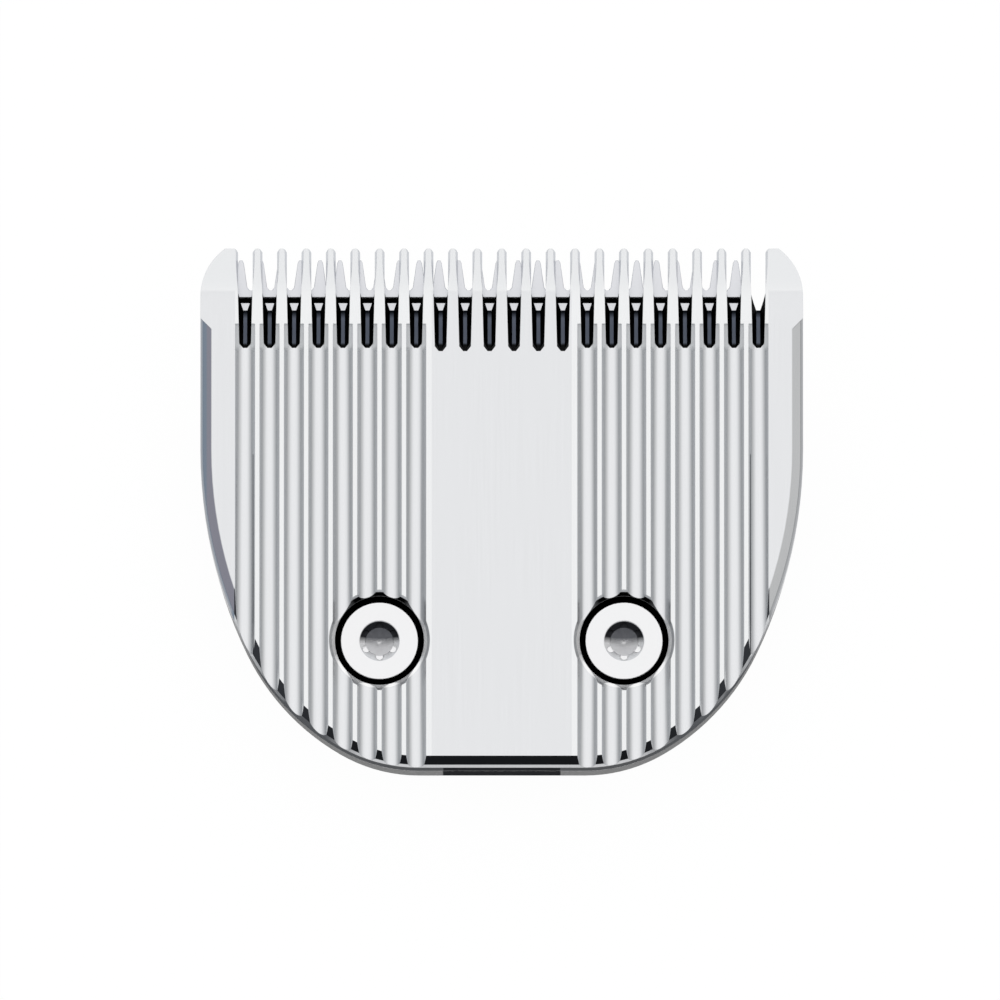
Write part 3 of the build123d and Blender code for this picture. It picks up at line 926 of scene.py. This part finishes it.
@dataclass
class Studio:
    """White table, a light tent with a white ceiling and greyer walls, and the camera.

    A ramp runs from where a wall or the flag begins to where it is full, along one axis of the
    direction to the sky.
    """

    view_width: float = 76.3 * MM
    target: tuple[float, float, float] = (-0.134 * MM, 0.473 * MM, 8.0 * MM)
    elevation: float = 84.0
    lens: float = 1500.0
    sensor: float = 36.0
    table_size: float = 2.4
    table_tone: str = "#F4F4F4"
    glow_tone: str = "#FFFFFF"
    glow: float = 1.02
    glow_share: float = 0.95
    ceiling_tone: str = "#FFFFFF"
    ceiling_lean: float = 0.35
    left_tone: str = "#8A8D92"
    right_tone: str = "#A8A8A9"
    right_ramp: Span = (-0.8, 0.8)
    front_tone: str = "#C8CCD2"
    front_ramp: Span = (0.3, 0.9)
    rear_tone: str = "#B4B6B9"
    rear_ramp: Span = (-0.3, -0.8)
    flag_tone: str = "#7A7A7A"
    flag_behind: Span = (-0.12, -0.26)
    flag_aloft: Span = (0.74, 0.82)
    flag_aside: Span = (0.4, 0.26)

    def build(self) -> None:
        """Sets up the whole studio."""
        bpy.context.scene.view_settings.view_transform = "Standard"
        self.make_table()
        self.make_sky()
        self.make_camera()
        log.info("studio ready")

    def make_table(self) -> None:
        """Makes the table: white to the eye and to reflections, still taking soft shadows."""
        half = self.table_size / 2
        mesh = bpy.data.meshes.new("table")
        mesh.from_pydata([(-half, -half, 0), (half, -half, 0), (half, half, 0), (-half, half, 0)],
                         [], [(0, 1, 2, 3)])
        table = bpy.data.objects.new("table", mesh)
        bpy.context.scene.collection.objects.link(table)
        material = bpy.data.materials.new("white_laminate")
        material.use_nodes = True
        tree = material.node_tree
        tree.nodes.clear()
        path = add_node(tree, "ShaderNodeLightPath")
        seen = add_node(tree, "ShaderNodeMath", {"operation": "MAXIMUM"}, {
            0: path.outputs["Is Camera Ray"], 1: path.outputs["Is Glossy Ray"]})
        shown = add_node(tree, "ShaderNodeMath", {"operation": "MAXIMUM"}, {
            0: seen.outputs[0], 1: path.outputs["Is Transmission Ray"]})
        share = add_node(tree, "ShaderNodeMath", {"operation": "MULTIPLY"}, {
            0: shown.outputs[0], 1: self.glow_share})
        skin = add_node(tree, "ShaderNodeBsdfDiffuse", None, {"Color": srgb(self.table_tone)})
        glow = add_node(tree, "ShaderNodeEmission", None, {
            "Color": srgb(self.glow_tone), "Strength": self.glow})
        mixed = add_node(tree, "ShaderNodeMixShader", None, {
            0: share.outputs[0], 1: skin.outputs[0], 2: glow.outputs[0]})
        add_node(tree, "ShaderNodeOutputMaterial", None, {"Surface": mixed.outputs[0]})
        mesh.materials.append(material)

    def make_sky(self) -> None:
        """Makes the light: a white ceiling that falls off to grey walls, and a grey flag behind."""
        world = bpy.data.worlds.new("light_tent")
        bpy.context.scene.world = world
        world.use_nodes = True
        tree = world.node_tree
        tree.nodes.clear()
        place = add_node(tree, "ShaderNodeTexCoord")
        x, y, z = add_node(tree, "ShaderNodeSeparateXYZ", None, {0: place.outputs["Generated"]}).outputs
        walls: Any = srgb(self.left_tone)
        for value, (start, full), tone in ((x, self.right_ramp, self.right_tone),
                                           (y, self.front_ramp, self.front_tone),
                                           (y, self.rear_ramp, self.rear_tone)):
            ramp = add_node(tree, "ShaderNodeMapRange", {"interpolation_type": "SMOOTHSTEP"}, {
                "Value": value, "From Min": start, "From Max": full})
            wall = add_node(tree, "ShaderNodeMix", {"data_type": "RGBA"}, {
                0: ramp.outputs[0], 6: walls, 7: srgb(tone)})
            walls = wall.outputs[2]
        height = add_node(tree, "ShaderNodeMath", {"operation": "MULTIPLY_ADD"}, {
            0: y, 1: self.ceiling_lean, 2: z})
        rise = add_node(tree, "ShaderNodeMapRange", None, {"Value": height.outputs[0]})
        sky = add_node(tree, "ShaderNodeMix", {"data_type": "RGBA"}, {
            0: rise.outputs[0], 6: walls, 7: srgb(self.ceiling_tone)})
        aside = add_node(tree, "ShaderNodeMath", {"operation": "ABSOLUTE"}, {0: x})
        flag: Any = 1.0
        for value, (start, full) in ((y, self.flag_behind), (z, self.flag_aloft),
                                     (aside.outputs[0], self.flag_aside)):
            ramp = add_node(tree, "ShaderNodeMapRange", {"interpolation_type": "SMOOTHSTEP"}, {
                "Value": value, "From Min": start, "From Max": full})
            both = add_node(tree, "ShaderNodeMath", {"operation": "MULTIPLY"}, {
                0: flag, 1: ramp.outputs[0]})
            flag = both.outputs[0]
        room = add_node(tree, "ShaderNodeMix", {"data_type": "RGBA"}, {
            0: flag, 6: sky.outputs[2], 7: srgb(self.flag_tone)})
        light = add_node(tree, "ShaderNodeBackground", None, {"Color": room.outputs[2], "Strength": 1.0})
        add_node(tree, "ShaderNodeOutputWorld", None, {"Surface": light.outputs[0]})

    def make_camera(self) -> None:
        """Places a long lens above the set, tilted a little to the rear."""
        data = bpy.data.cameras.new("camera")
        data.lens, data.sensor_width = self.lens, self.sensor
        camera = bpy.data.objects.new("camera", data)
        bpy.context.scene.collection.objects.link(camera)
        lift = radians(self.elevation)
        back = Vector((0.0, -cos(lift), sin(lift)))
        camera.location = Vector(self.target) + back * (self.view_width * self.lens / self.sensor)
        camera.rotation_euler = (pi / 2 - lift, 0.0, 0.0)
        bpy.context.scene.camera = camera


def main() -> None:
    """Builds the set piece by piece, then the studio."""
    logging.basicConfig(level=logging.INFO, format="%(name)s: %(message)s")
    tree = SoftEdges().tree()
    for unit in (Comb(), CutterUnit(), HolderUnit(), Fasteners()):
        unit.build(tree)
    Studio().build()


if __name__ == "__main__":
    main()
